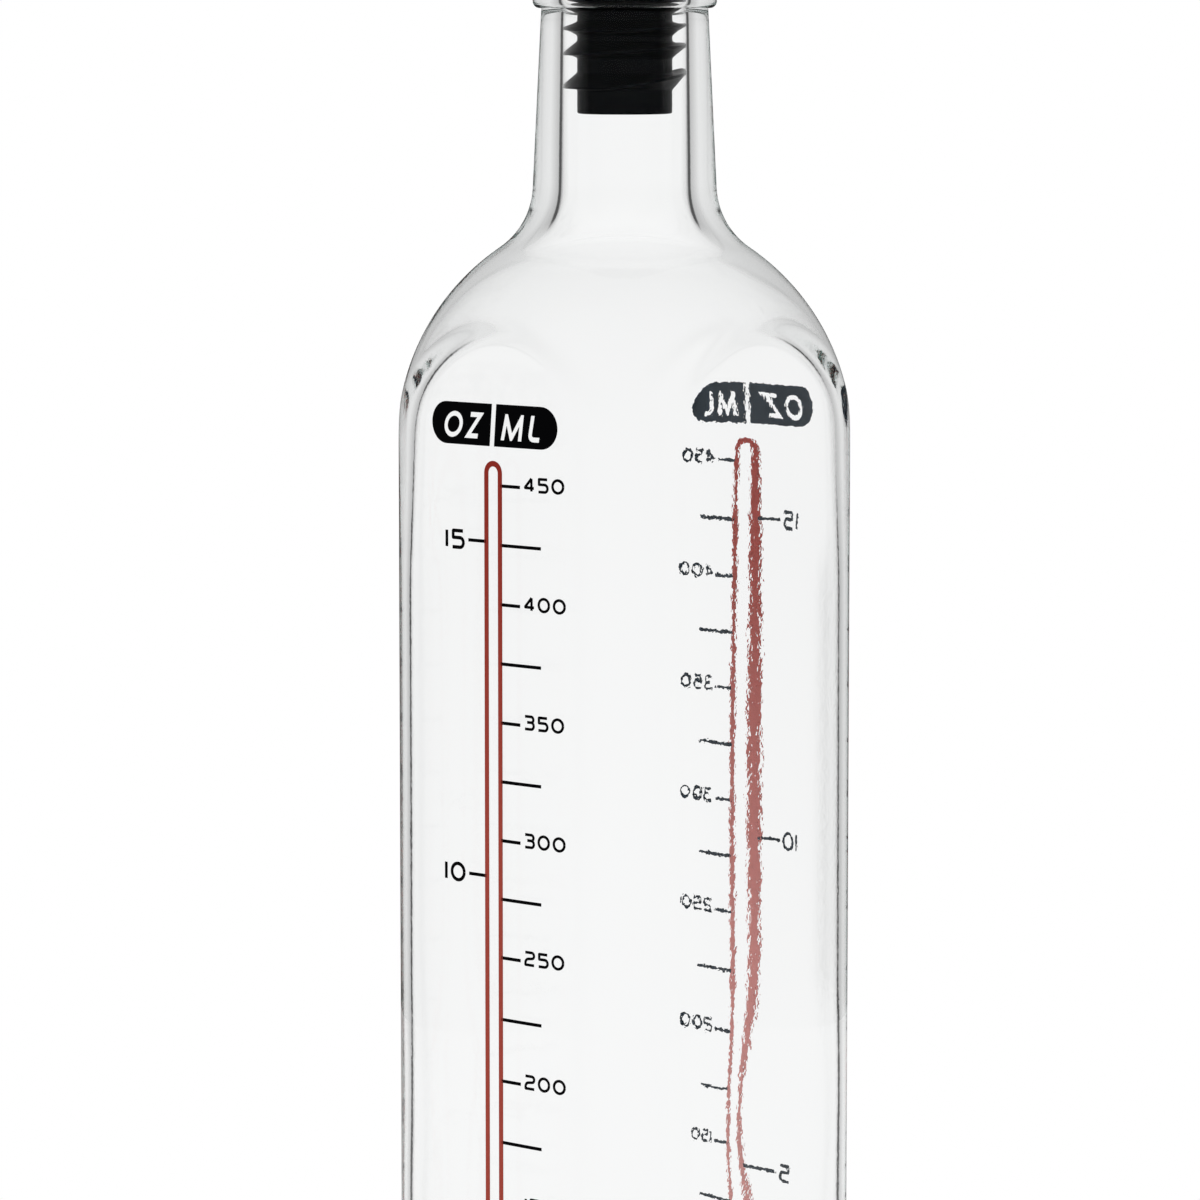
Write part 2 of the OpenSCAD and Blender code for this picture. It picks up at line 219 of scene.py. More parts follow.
# %% Clear glass
def clear_glass():
    material, tree = finish_named("clear_glass")
    place = tree.add("ShaderNodeTexCoord", output="Object")
    inside = tree.add("ShaderNodeAttribute", {"attribute_name": "inside"}, output="Fac")
    coarse = tree.noise(place, 420, 2)
    fine = tree.noise(place, 1500, 1)
    ripple = (coarse * 0.7 + fine * 0.3) * inside
    normal = tree.bump(ripple, 1.0, 0.016 * mm)
    surface = tree.add("ShaderNodeBsdfPrincipled", None, {
        "Base Color": (1, 1, 1, 1),
        "Roughness": 0.0,
        "IOR": 1.52,
        "Specular Tint": (0.1, 0.1, 0.1, 1),
        "Transmission Weight": 1.0,
        "Normal": normal,
    })
    volume = tree.add("ShaderNodeVolumeAbsorption", None, {"Color": (0.3, 0.5, 0.46, 1), "Density": 3.5})
    tree.add("ShaderNodeOutputMaterial", None, {"Surface": surface, "Volume": volume})
    return material


glass_finish = clear_glass()
print("glass nodes:", len(glass_finish.node_tree.nodes))

# %% [markdown]
# The print is ceramic ink, fired on the glass: black for the marks and the
# badge, and a brick red for the drawn tube. It is dull, a little uneven in
# gloss, and the red is deeper towards its top. The far print shows its other
# side, through the glass. There the ink is painted paler, and the red gets a
# painted glow, most of all low down. Both stand in for the light that the glass
# keeps from that side. Each face of the print says in an attribute whether it
# looks into the glass, and that picks its colour.

# %% Printed ink
tube_low, tube_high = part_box("front_scale_tube")


def fired_ink(name, skin_low, skin_high, under_low, under_high, skin_low_z, painted_glow_colour=(0, 0, 0)):
    material, tree = finish_named(name)
    place = tree.add("ShaderNodeTexCoord", output="Object")
    height = tree.add("ShaderNodeSeparateXYZ", None, {"Vector": place}, output="Z")
    share = (height - skin_low_z) / (tube_high.z - skin_low_z)
    skin = tree.ramp(share, (0, linear(skin_low)), (1, linear(skin_high)))
    along_tube = (height - tube_low.z) / (tube_high.z - tube_low.z)
    # The glass side is painted paler than the ink itself, standing in for light that the glass keeps from
    # it
    under = tree.ramp(along_tube, (0, linear(under_low)), (1, linear(under_high)))
    glass_side = tree.add("ShaderNodeAttribute", {"attribute_name": "glass_side"}, output="Fac")
    # Painted glow on the glass side, strongest low down, standing in for light that the lamps don't bring
    # through the glass
    painted_glow_ramp = tree.ramp(along_tube, (0.48, painted_glow_colour), (0.86, (0, 0, 0)))
    cloud = tree.noise(place, 900, 3)
    grain = tree.noise(place, 6000, 1)
    normal = tree.bump(grain, 0.25, 0.01 * mm)
    surface = tree.add("ShaderNodeBsdfPrincipled", None, {
        "Base Color": tree.mix(glass_side, skin, under),
        "Roughness": 0.42 + cloud * 0.25,
        "IOR": 1.5,
        "Specular IOR Level": 0.02,
        # The painted glow is given to the glass side only
        "Emission Color": tree.mix(glass_side, (0, 0, 0, 1), painted_glow_ramp),
        "Emission Strength": 1.0,
        "Normal": normal,
    })
    tree.add("ShaderNodeOutputMaterial", None, {"Surface": surface})
    return material


# The third and fourth colours are the red's glass side, painted paler, and the last is its painted glow
red_finish = fired_ink(
    "red_ink", "A5483D", "8F2F26", "FBB0AA", "F5685C", tube_high.z - 60 * mm, (0.19, 0.1, 0.095)
)
# The black's glass side is painted grey, lighter than the ink, for the same missing light
black_finish = fired_ink("black_ink", "040405", "040405", "46535F", "46535F", tube_low.z)
print("tube from", round(tube_low.z / mm, 1), "to", round(tube_high.z / mm, 1), "mm")

# %% [markdown]
# The stopper is moulded rubber with a satin skin. Handling leaves dust on it,
# which is drawn as a few small pale specks, and the skin itself has a fine grain.

# %% Black rubber
def satin_rubber():
    material, tree = finish_named("black_rubber")
    place = tree.add("ShaderNodeTexCoord", output="Object")
    cloud = tree.noise(place, 500, 3)
    spot = tree.add("ShaderNodeTexVoronoi", None, {"Vector": place, "Scale": 900}, "Distance")
    rare = tree.noise(place, 210, 1)
    dust = ((0.09 - spot) * 30).clamp() * ((rare - 0.58) * 12).clamp()
    grain = tree.noise(place, 2600, 2)
    normal = tree.bump(grain, 0.3, 0.02 * mm)
    surface = tree.add("ShaderNodeBsdfPrincipled", None, {
        "Base Color": tree.ramp(dust, (0, linear("030509")), (1, linear("6E7074"))),
        "Roughness": 0.3 + cloud * 0.15,
        "IOR": 1.5,
        "Specular IOR Level": 0.03,
        "Normal": normal,
    })
    tree.add("ShaderNodeOutputMaterial", None, {"Surface": surface})
    return material


rubber_finish = satin_rubber()
print("rubber nodes:", len(rubber_finish.node_tree.nodes))

# %% [markdown]
# The pourer's steel is polished. Fine marks of the polishing wheel and a faint
# cloud of handling keep it from looking like a perfect mirror.

# %% Polished steel
def polished_steel():
    material, tree = finish_named("polished_steel")
    place = tree.add("ShaderNodeTexCoord", output="Object")
    long_way = tree.add("ShaderNodeMapping", None, {"Vector": place, "Scale": (1, 1, 0.08)})
    lines = tree.noise(long_way, 5200, 2)
    cloud = tree.noise(place, 260, 3)
    normal = tree.bump(lines, 0.15, 0.004 * mm)
    surface = tree.add("ShaderNodeBsdfPrincipled", None, {
        "Base Color": (0.66, 0.66, 0.65, 1),
        "Metallic": 1.0,
        "Roughness": 0.09 + cloud * 0.12,
        "Normal": normal,
    })
    tree.add("ShaderNodeOutputMaterial", None, {"Surface": surface})
    return material


steel_finish = polished_steel()
print("finishes:", ", ".join(m.name for m in bpy.data.materials if m.use_nodes))

# %% [markdown]
# A few small helpers serve every piece. They keep what an object's modifiers
# make as a plain mesh, turn a worked shape into a mesh, and join rows of points
# into a smooth sheet, which makes the bottle, the stopper and the floor. The
# last one says which body a piece moves with and which solid it stands for.

# %% Making and placing a piece
def kept_mesh(holder):
    """The plain mesh that an object's modifiers or curve make."""
    graph = bpy.context.evaluated_depsgraph_get()
    return bpy.data.meshes.new_from_object(holder.evaluated_get(graph))


def mesh_of(name, shape, finish):
    """A mesh from a worked shape, which is freed, in one finish."""
    mesh = bpy.data.meshes.new(name)
    shape.to_mesh(mesh)
    shape.free()
    mesh.materials.append(finish)
    return mesh


def sheet(name, rows, finish, closed=False):
    """A smooth piece from rows of points, joined row to row. A row of one point is a pole."""
    count = max(len(row) for row in rows)
    points, rings, faces = [], [], []
    for row in rows:
        start = len(points)
        rings.append([start] * count if len(row) == 1 else range(start, start + count))
        points += [tuple(p) for p in row]
    for low, high in zip(rings, rings[1:] + (rings[:1] if closed else [])):
        for c in range(count):
            d = (c + 1) % count
            corners = tuple(dict.fromkeys((low[c], low[d], high[d], high[c])))
            if len(corners) > 2:
                faces.append(corners)
    mesh = bpy.data.meshes.new(name)
    mesh.from_pydata(points, [], faces)
    mesh.materials.append(finish)
    mesh.update()
    mesh.shade_smooth()
    return linked(name, mesh)


def settle(piece, body, finish_slot, *nodes):
    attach(piece, body)
    if nodes:
        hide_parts(*nodes)
    print(piece.name, "rides on", body, "with", len(piece.data.polygons), "faces")


# %% [markdown]
# The bottle is blown in a mould. Its body is square with round corners, and its
# shoulder and neck are round. Each level of it is a soft square that is cut off
# by a circle, so one formula in polar form draws them all, outside and inside.
# The levels join into a single closed sheet that runs from the middle of the
# base, up the outside, over the lip, and down the inside to the floor. Such a
# sheet bends light twice in each wall, as the real glass does.

# %% Sizes of the outside
glass_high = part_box("bottle")[1]
half_width = glass_high.x
glass_height = glass_high.z
corner = 16.2 * mm
corner_ease = 0.15 * mm
body_radius = (half_width - corner) * math.sqrt(2) + corner + corner_ease
heel = 5 * mm
punt_radius = 20 * mm
punt_depth = 1.2 * mm
shoulder_height = glass_height - 75 * mm
shoulder_shift = 1.2 * mm
shoulder_round = body_radius + shoulder_shift
neck_radius = 13.05 * mm
neck_slope = math.radians(2.8)
neck_hollow = 12 * mm
bead_radius = 14.4 * mm
bead_height = 7 * mm
bead_edge = 1.1 * mm
bead_root = 0.3 * mm
lip_edge = 2 * mm
print("glass", round(2 * half_width / mm, 1), "mm wide and", round(glass_height / mm, 1), "mm tall")


# %% Rounds of the shoulder and the neck
def arc(centre, radius, start, end, count):
    """Points along a part of a circle, both ends included, for the profile or the print."""
    angles = np.linspace(start, end, count)
    return [(centre[0] + radius * math.cos(a), centre[1] + radius * math.sin(a)) for a in angles]


def hollow_centre(start, slope, hollow, shoulder):
    """Centre of a hollow that touches the shoulder's round and a neck line from start."""
    down = np.array([math.sin(slope), -math.cos(slope)])
    outward = np.array([math.cos(slope), math.sin(slope)])
    middle = np.array([-shoulder_shift, shoulder_height])
    away = np.array(start) + hollow * outward - middle
    along = away @ down
    depth = -along - math.sqrt(along ** 2 - away @ away + (shoulder + hollow) ** 2)
    return np.array(start) + depth * down + hollow * outward


def neck_and_shoulder(start, slope, hollow, shoulder, shoulder_count, hollow_count):
    """Points from the top of the wall up to the start of the neck line."""
    centre = hollow_centre(start, slope, hollow, shoulder)
    meet = math.atan2(centre[1] - shoulder_height, centre[0] + shoulder_shift)
    rise = arc((-shoulder_shift, shoulder_height), shoulder, 0, meet, shoulder_count)
    turn = arc(centre, hollow, math.pi + meet, math.pi + slope, hollow_count)
    return rise + turn[1:]


# %% Levels of the outside
def level(radius, height, inset, square=1.0, inside=0.0):
    """A level: its circle, its height, how far in its square lies, how square and how rippled it is."""
    return {"radius": radius, "height": height, "inset": inset, "square": square, "inside": inside}


def outer_levels():
    levels = [
        level(share * punt_radius, punt_depth * (1 - share ** 2), heel, square=0)
        for share in np.linspace(0, 1, 8)
    ]
    levels += [level(punt_radius, 0, heel, square=share) for share in (0.35, 0.7)]
    levels += [
        level(body_radius - heel * (1 - math.sin(a)), heel * (1 - math.cos(a)), heel * (1 - math.sin(a)))
        for a in np.linspace(0, math.pi / 2, 9)
    ]
    levels += [level(body_radius, z, 0) for z in np.linspace(heel, shoulder_height, 40)[1:-1]]
    bead_low = glass_height - bead_height
    rise = neck_and_shoulder((neck_radius, bead_low), neck_slope, neck_hollow, shoulder_round, 36, 14)
    foot = np.array(rise[-1])
    top = np.array([neck_radius, bead_low])
    neck = [tuple(foot + (top - foot) * share) for share in np.linspace(0, 1, 9)[1:]]
    bead = arc((neck_radius + bead_root, bead_low), bead_root, math.pi, math.pi / 2, 3)[1:]
    bead += arc((bead_radius - bead_edge, bead_low + bead_edge), bead_edge, -math.pi / 2, 0, 7)
    bead += arc((bead_radius - lip_edge, glass_height - lip_edge), lip_edge, 0, math.pi / 2, 9)
    levels += [level(r, z, 0) for r, z in rise + neck + bead]
    return levels


print("outside:", len(outer_levels()), "levels")

# %% [markdown]
# The inside. A blown wall is never even. Here it is thicker in the shoulder
# than in the body, and its ripple fades up the shoulder. The floor is thick,
# because the glass settles there.

# %% Levels of the inside
wall = 3.3 * mm
shoulder_wall = 4.3 * mm
base = 6.5 * mm
floor_rise = 2 * mm
bore_radius = 9.65 * mm
bore_hollow = 16 * mm
mouth_edge = 0.6 * mm
ripple_top = shoulder_height + 10 * mm
ripple_fade = 12 * mm
ripple_loss = 0.75


def smooth_step(share):
    share = min(max(share, 0), 1)
    return share * share * (3 - 2 * share)


def ripple_at(height):
    """The ripple of the inside is full in the body and fades up the shoulder."""
    return 1 - ripple_loss * smooth_step((height - ripple_top) / ripple_fade)


def inner_levels():
    inner_radius = body_radius - shoulder_wall
    floor_radius = half_width - wall - heel
    mouth = arc((bore_radius + mouth_edge, glass_height - mouth_edge), mouth_edge, math.pi / 2, math.pi, 7)
    rise = neck_and_shoulder(
        (bore_radius, glass_height), 0, bore_hollow, shoulder_round - shoulder_wall, 44, 20
    )
    bore = [(bore_radius, z) for z in np.linspace(glass_height - mouth_edge, rise[-1][1], 18)[1:-1]]
    levels = [level(r, z, wall) for r, z in mouth]
    levels += [level(r, z, wall, inside=ripple_at(z)) for r, z in bore + rise[::-1]]
    levels += [
        level(inner_radius, z, wall, inside=1.0)
        for z in np.linspace(shoulder_height, base + heel, 110)[1:-1]
    ]
    levels += [
        level(
            inner_radius - heel * (1 - math.cos(a)), base + heel * (1 - math.sin(a)),
            wall + heel * (1 - math.cos(a)), inside=1.0,
        )
        for a in np.linspace(0, math.pi / 2, 9)
    ]
    levels += [
        level(share * floor_radius, base + floor_rise * (1 - share ** 2), wall + heel, 0, 1.0)
        for share in np.linspace(1, 0, 12)[1:]
    ]
    return levels


print("inside:", len(inner_levels()), "levels")

# %% [markdown]
# The photograph shows the far print bent and its far lines doubled near the
# edges, which an even wall doesn't do. So each face swells a little on the
# inside, one low ring of the wall is twisted, and the two corners on the
# mould's seam are thinner. All of it is under 1.2 mm.

# %% The uneven wall
face_swell = 0.4 * mm
swell_width = 13.6 * mm
middle_swell = 0.04 * mm
middle_width = 5 * mm
twist_swell = 0.3 * mm
twist_height = 76 * mm
twist_reach = 13 * mm
wave_depth = 0.012 * mm
# Each wave's count round the bottle, its pitch upwards and its start
waves = ((5, 17 * mm, 0), (8, -23 * mm, 1))
uneven_top = shoulder_height + 20 * mm
uneven_fade = 30 * mm
foot_fade = 20 * mm
corner_reach = 1.15 * mm
corner_width = 5.2 * mm
corner_spread = 1.9
spread_foot = shoulder_height - 24 * mm
spread_reach = 46 * mm
seam_top = shoulder_height + 38 * mm
seam_fade = 22 * mm


def unevenness(angles, height):
    """How far the inside stands in from its plain shape."""
    fade = smooth_step((uneven_top - height) / uneven_fade) * smooth_step(height / foot_fade)
    folded = (angles + math.pi / 4) % (math.pi / 2) - math.pi / 4
    across = np.tan(folded) * half_width
    swell = face_swell * np.exp(-(across / swell_width) ** 2)
    swell = swell + middle_swell * np.exp(-(across / middle_width) ** 2)
    twist = twist_swell * math.exp(-((height - twist_height) / twist_reach) ** 2) * np.sin(4 * folded)
    wave = sum(np.sin(count * angles + height / pitch + start) for count, pitch, start in waves)
    return fade * (swell + twist + wave_depth * wave) - thin_corner(angles, height)


def thin_corner(angles, height):
    """How far the inside reaches out at the two corners on the mould's seam."""
    fade = smooth_step((seam_top - height) / seam_fade) * smooth_step(height / foot_fade)
    seam = np.cos(angles - math.pi / 4) ** 2
    aside = (angles % (math.pi / 2) - math.pi / 4) * body_radius
    width = corner_width * (1 + corner_spread * smooth_step((height - spread_foot) / spread_reach))
    return fade * seam * corner_reach * np.exp(-(aside / width) ** 2)


# %% The shape of one level
column_count = 264
edge_softness = 0.7 * mm
square_power = 4
# The power falls by this much for each metre that a level lies further in
power_loss = 80


def soft_least(a, b):
    """The smaller of two lengths, with a soft edge where they cross."""
    near = np.maximum(edge_softness - np.abs(a - b), 0) / edge_softness
    return np.minimum(a, b) - near ** 2 * edge_softness / 4


def soft_square(angles, inset):
    """Distance from the axis to a soft square, which gets rounder the further in it lies."""
    power = square_power - power_loss * inset
    total = np.abs(np.cos(angles)) ** power + np.abs(np.sin(angles)) ** power
    return (half_width - inset) / total ** (1 / power)


def level_points(one, angles):
    square = soft_square(angles, one["inset"])
    if one["square"] == 1:
        reach = soft_least(square, np.full_like(square, one["radius"]))
    else:
        reach = one["radius"] * (1 - one["square"]) + square * one["square"]
    if one["inside"]:
        reach = reach - unevenness(angles, one["height"])
    return np.column_stack([
        reach * np.cos(angles), reach * np.sin(angles), np.full_like(reach, one["height"])
    ])


# %% The glass as one closed sheet
def glass_piece():
    angles = np.linspace(0, 2 * math.pi, column_count, endpoint=False)
    levels = outer_levels() + inner_levels()
    rows = [level_points(one, angles) for one in levels]
    for end in (0, -1):
        rows[end] = rows[end][:1] * (0, 0, 1)
    inside = [one["inside"] for one, row in zip(levels, rows) for point in row]
    piece = sheet("glass_bottle", rows, glass_finish)
    piece.data.attributes.new("inside", "FLOAT", "POINT").data.foreach_set("value", inside)
    return piece


settle(glass_piece(), "glass", "clear_glass", "bottle")

# %% [markdown]
# The scale. Its marks repeat, so a small Geometry Nodes tree lays a row of them:
# a line of points, a flat bar on each point, and the instances made real. The
# tree is used once for each kind of mark. The ink sinks a hair into the glass,
# as fired ink does, so that no air shows between them. Above 250 ml the marks
# stand a little closer than below it, as in the photograph.

# %% Sizes of the print
ink_sink = 0.015 * mm
ink_rise = 0.05 * mm
ink_thickness = ink_sink + ink_rise
ink_middle = -half_width - (ink_rise - ink_sink) / 2
tube_width = tube_high.x - tube_low.x
top_mark = tube_high.z - 3.8 * mm
top_volume, middle_volume, volume_step = 450, 250, 25
upper_step = 9.16 * mm
lower_step = 9.68 * mm
ounce_volume = 28.413


def mark_height(volume):
    """Height of a volume in millilitres above the base."""
    upper = (top_volume - max(volume, middle_volume)) / volume_step
    lower = max(middle_volume - volume, 0) / volume_step
    return top_mark - upper * upper_step - lower * lower_step


print("marks from", round(mark_height(50) / mm, 1), "to", round(top_mark / mm, 1), "mm")


# %% A tree that lays a row of marks
def new_tree(name, inputs):
    """A tree with named inputs, and a wire from each of them."""
    group = bpy.data.node_groups.new(name, "GeometryNodeTree")
    for label, kind in inputs.items():
        group.interface.new_socket(label, in_out="INPUT", socket_type="NodeSocket" + kind)
    group.interface.new_socket("Geometry", in_out="OUTPUT", socket_type="NodeSocketGeometry")
    tree = Tree(group)
    return group, tree, dict(zip(inputs, tree.add("NodeGroupInput", output="all")))


def end_in_ink(tree, shape, ink):
    """Ends a tree: its instances are made real and get their finish."""
    real = tree.add("GeometryNodeRealizeInstances", None, {"Geometry": shape})
    inked = tree.add("GeometryNodeSetMaterial", None, {"Geometry": real, "Material": ink})
    tree.add("NodeGroupOutput", None, {0: inked})


def marks_tree():
    group, tree, given = new_tree("row_of_marks", {
        "Geometry": "Geometry", "Count": "Int", "Lowest": "Vector", "Step": "Vector",
        "Size": "Vector", "Ink": "Material",
    })
    points = tree.add("GeometryNodeMeshLine", None, {
        "Count": given["Count"], "Start Location": given["Lowest"], "Offset": given["Step"]
    })
    bar = tree.add("GeometryNodeMeshCube", None, {"Size": given["Size"]})
    laid = tree.add("GeometryNodeInstanceOnPoints", None, {"Points": points, "Instance": bar})
    end_in_ink(tree, laid, given["Ink"])
    return group


row_of_marks = marks_tree()
print("row_of_marks has", len(row_of_marks.nodes), "nodes")


# %% Running a tree and keeping its mesh
def grown(name, group, values, points=(), edges=(), turns=()):
    """The plain object that a tree makes from points, each with its turn, and edges."""
    seed_mesh = bpy.data.meshes.new(name)
    seed_mesh.from_pydata(points, edges, [])
    if turns:
        seed_mesh.attributes.new("turn", "FLOAT", "POINT").data.foreach_set("value", turns)
    seed = linked(name + "_seed", seed_mesh)
    modifier = seed.modifiers.new("tree", "NODES")
    modifier.node_group = group
    for item in group.interface.items_tree:
        if item.in_out == "INPUT" and item.name in values:
            modifier[item.identifier] = values[item.name]
    mesh = kept_mesh(seed)
    bpy.data.objects.remove(seed)
    mesh.name = name
    return linked(name, mesh)


def joined(name, parts, finish):
    """One object from several, with their meshes put together."""
    whole = bmesh.new()
    for part in parts:
        whole.from_mesh(part.data)
        bpy.data.objects.remove(part)
    for face in whole.faces:
        face.material_index = 0
    return linked(name, mesh_of(name, whole, finish))


# %% Rows of marks
mark_thickness = 0.52 * mm
mark_overlap = 0.3 * mm
numbered_reach = 5.65 * mm
plain_reach = 9.95 * mm
ounce_reach = 5.3 * mm


def mark_row(label, start_x, end_x, volume, step, count):
    return grown("marks_" + label, row_of_marks, {
        "Count": count,
        "Lowest": ((start_x + end_x) / 2, ink_middle, mark_height(volume)),
        "Step": (0, 0, step),
        "Size": (abs(end_x - start_x), ink_thickness, mark_thickness),
        "Ink": black_finish,
    })


def scale_marks():
    edge = tube_width / 2 - mark_overlap
    rows = [
        mark_row("numbered_upper", edge, numbered_reach, 250, 2 * upper_step, 5),
        mark_row("plain_upper", edge, plain_reach, 275, 2 * upper_step, 4),
        mark_row("numbered_lower", edge, numbered_reach, 50, 2 * lower_step, 4),
        mark_row("plain_lower", edge, plain_reach, 75, 2 * lower_step, 4),
    ]
    for ounces in (5, 10, 15):
        rows.append(mark_row("ounces", -ounce_reach, -edge, ounces * ounce_volume, upper_step, 1))
    return rows


print("marks reach", round(numbered_reach / mm, 2), "and", round(plain_reach / mm, 2), "mm")

# %% [markdown]
# The numbers are generic. Each digit is drawn with a few pen strokes in a box
# one unit wide and one high. The third value of a point says how round the turn
# is there. A second tree turns the strokes into flat ribbons: every corner gets
# its fillet, and a thin rectangle is swept along the path.

# %% Digits as pen strokes
def ellipse(middle, width, height, count):
    turns = [2 * math.pi * i / count for i in range(count)]
    return [(middle[0] + width / 2 * math.cos(a), middle[1] + height / 2 * math.sin(a)) for a in turns]


SHARP, ROUND = 0.08, 0.9
nought = [(x, y, 0) for x, y in ellipse((0.5, 0.5), 1, 1, 24)]
DIGITS = {
    "0": [nought + nought[:1]],
    "1": [[(0, 0, 0), (0, 1, 0)]],
    "2": [[(0, 1, 0), (1, 1, ROUND), (1, 0.55, ROUND), (0, 0.45, ROUND), (0, 0, SHARP), (1, 0, 0)]],
    "3": [[(0, 1, 0), (0.96, 1, ROUND), (0.96, 0.54, ROUND), (0.25, 0.54, 0)],
          [(0.5, 0.54, 0), (1, 0.54, ROUND), (1, 0, ROUND), (0, 0, 0)]],
    "4": [[(0.74, 1, 0), (0, 0.25, SHARP), (1, 0.25, 0)], [(0.74, 0, 0), (0.74, 1, 0)]],
    "5": [[(0.95, 1, 0), (0.05, 1, SHARP), (0.05, 0.58, SHARP), (1, 0.58, ROUND), (1, 0, ROUND),
           (0, 0, 0)]],
}
# Width of each digit, pen included, as a share of the height of the number
DIGIT_WIDTH_SHARES = {"0": 1.04, "1": 0.18, "2": 0.93, "3": 0.93, "4": 0.96, "5": 0.93}
print("digits drawn:", " ".join(DIGITS))


# %% A tree that turns strokes into ribbons
fillet_points = 6


def ribbon_tree():
    group, tree, given = new_tree("inked_strokes", {
        "Geometry": "Geometry", "Turn radius": "Float", "Pen width": "Float",
        "Ink thickness": "Float", "Ink": "Material",
    })
    strokes = tree.add("GeometryNodeMeshToCurve", None, {"Mesh": given["Geometry"]})
    turn = tree.add("GeometryNodeInputNamedAttribute", {"data_type": "FLOAT"}, {"Name": "turn"})
    rounded = tree.add("GeometryNodeFilletCurve", {"mode": "POLY"}, {
        "Curve": strokes, "Count": fillet_points, "Radius": given["Turn radius"] * turn,
        "Limit Radius": True,
    })
    upright = tree.add("GeometryNodeSetCurveNormal", {"mode": "Z_UP"}, {"Curve": rounded})
    pen = tree.add("GeometryNodeCurvePrimitiveQuadrilateral", None, {
        "Width": given["Pen width"], "Height": given["Ink thickness"]
    })
    ribbons = tree.add("GeometryNodeCurveToMesh", None, {
        "Curve": upright, "Profile Curve": pen, "Fill Caps": True
    })
    end_in_ink(tree, ribbons, given["Ink"])
    return group


inked_strokes = ribbon_tree()
print("inked_strokes has", len(inked_strokes.nodes), "nodes")

# %% Writing a number
black_rise = ink_rise + 0.01 * mm
black_thickness = ink_sink + black_rise
gap_share = 0.23
turn_share = 0.3


def number_width(digits, height):
    return height * (sum(DIGIT_WIDTH_SHARES[d] for d in digits) + gap_share * (len(digits) - 1))


def written(digits, left, middle, height, pen):
    """Points (x, y, turn) and edges of a number that is written on a flat sheet."""
    points, edges, start = [], [], left + pen / 2
    for digit in digits:
        width = DIGIT_WIDTH_SHARES[digit] * height - pen
        for stroke in DIGITS[digit]:
            first = len(points)
            points += [
                (start + x * width, middle + (y - 0.5) * (height - pen), turn) for x, y, turn in stroke
            ]
            edges += [(i, i + 1) for i in range(first, len(points) - 1)]
        start += width + pen + gap_share * height
    return points, edges


def number_ribbons(name, numbers, height, pen):
    points, edges = [], []
    for digits, left, middle in numbers:
        more, joins = written(digits, left, middle, height, pen)
        edges += [(a + len(points), b + len(points)) for a, b in joins]
        points += more
    return grown(name, inked_strokes, {
        "Turn radius": turn_share * height,
        "Pen width": pen,
        "Ink thickness": black_thickness,
        "Ink": black_finish,
    }, [(x, y, 0) for x, y, turn in points], edges, [turn for x, y, turn in points])


# %% Numbers on the scale
ml_height = 2.39 * mm
ml_pen = 0.44 * mm
ml_start = 6.45 * mm
ml_lift = 0.5 * mm
ounce_height = 3.13 * mm
ounce_pen = 0.56 * mm
ounce_end = -6.1 * mm


def scale_numbers():
    volumes = [
        (str(volume), ml_start, mark_height(volume) + ml_lift) for volume in range(50, 451, 50)
    ]
    ounces = [
        (digits, ounce_end - number_width(digits, ounce_height), mark_height(int(digits) * ounce_volume))
        for digits in ("5", "10", "15")
    ]
    small = number_ribbons("volumes", volumes, ml_height, ml_pen)
    large = number_ribbons("ounces", ounces, ounce_height, ounce_pen)
    return joined("front_numbers_print", [small, large], black_finish)


print("the number 450 is", round(number_width("450", ml_height) / mm, 2), "mm wide")

# %% [markdown]
# The badge over the scale has the names of the units, OZ and ML. They are bare
# glass, left out of the black ink. A flat curve with several closed loops fills
# the space between them, so a loop inside another is a hole. The drawn tube is
# such a shape too: one round-ended slot inside another.

# %% Flat ink between loops
merge_distance = 0.001 * mm


def flat_ink(name, loops, thickness, finish):
    """A thin plate between closed loops of points, lying flat."""
    curve = bpy.data.curves.new(name, "CURVE")
    curve.dimensions = "2D"
    curve.fill_mode = "BOTH"
    curve.extrude = thickness / 2
    for loop in loops:
        spline = curve.splines.new("POLY")
        spline.points.add(len(loop) - 1)
        for point, place in zip(spline.points, loop):
            point.co = (*place, 0, 1)
        spline.use_cyclic_u = True
    drawn = linked(name + "_drawn", curve)
    mesh = kept_mesh(drawn)
    bpy.data.objects.remove(drawn)
    shape = bmesh.new()
    shape.from_mesh(mesh)
    bmesh.ops.remove_doubles(shape, verts=shape.verts, dist=merge_distance)
    bmesh.ops.recalc_face_normals(shape, faces=shape.faces)
    return linked(name, mesh_of(name, shape, finish))


# %% The tube of the scale
tube_line = 0.88 * mm


def stadium(width, low, high, count=16):
    """A slot with round ends, standing on its end."""
    radius = width / 2
    top = arc((0, high - radius), radius, 0, math.pi, count)
    return top + arc((0, low + radius), radius, math.pi, 2 * math.pi, count)


tube_loops = [
    stadium(tube_width, tube_low.z, tube_high.z),
    stadium(tube_width - 2 * tube_line, tube_low.z + tube_line, tube_high.z - tube_line),
]
tube_print = flat_ink("front_tube_print", tube_loops, ink_thickness, red_finish)
print("tube:", len(tube_print.data.polygons), "faces")

# %% [markdown]
# The letters are drawn as if with a broad pen: one width, pointed corners, and
# flat feet. Each stroke's path becomes its outline, and what stands out above
# or below the line of writing is cut off. Then the letters lean to the right.

# %% The outline of a pen stroke
def pen_outline(path, pen):
    """The outline of a stroke of one width, with pointed corners."""
    path = [Vector(p) for p in path]
    left, right = [], []
    for i, point in enumerate(path):
        before = (point - path[i - 1]).normalized() if i else None
        after = (path[i + 1] - point).normalized() if i < len(path) - 1 else None
        before, after = before or after, after or before
        normal = (Vector((-before.y, before.x)) + Vector((-after.y, after.x))).normalized()
        reach = pen / 2 / normal.dot(Vector((-before.y, before.x)))
        left.append(point + normal * reach)
        right.append(point - normal * reach)
    return left + right[::-1]


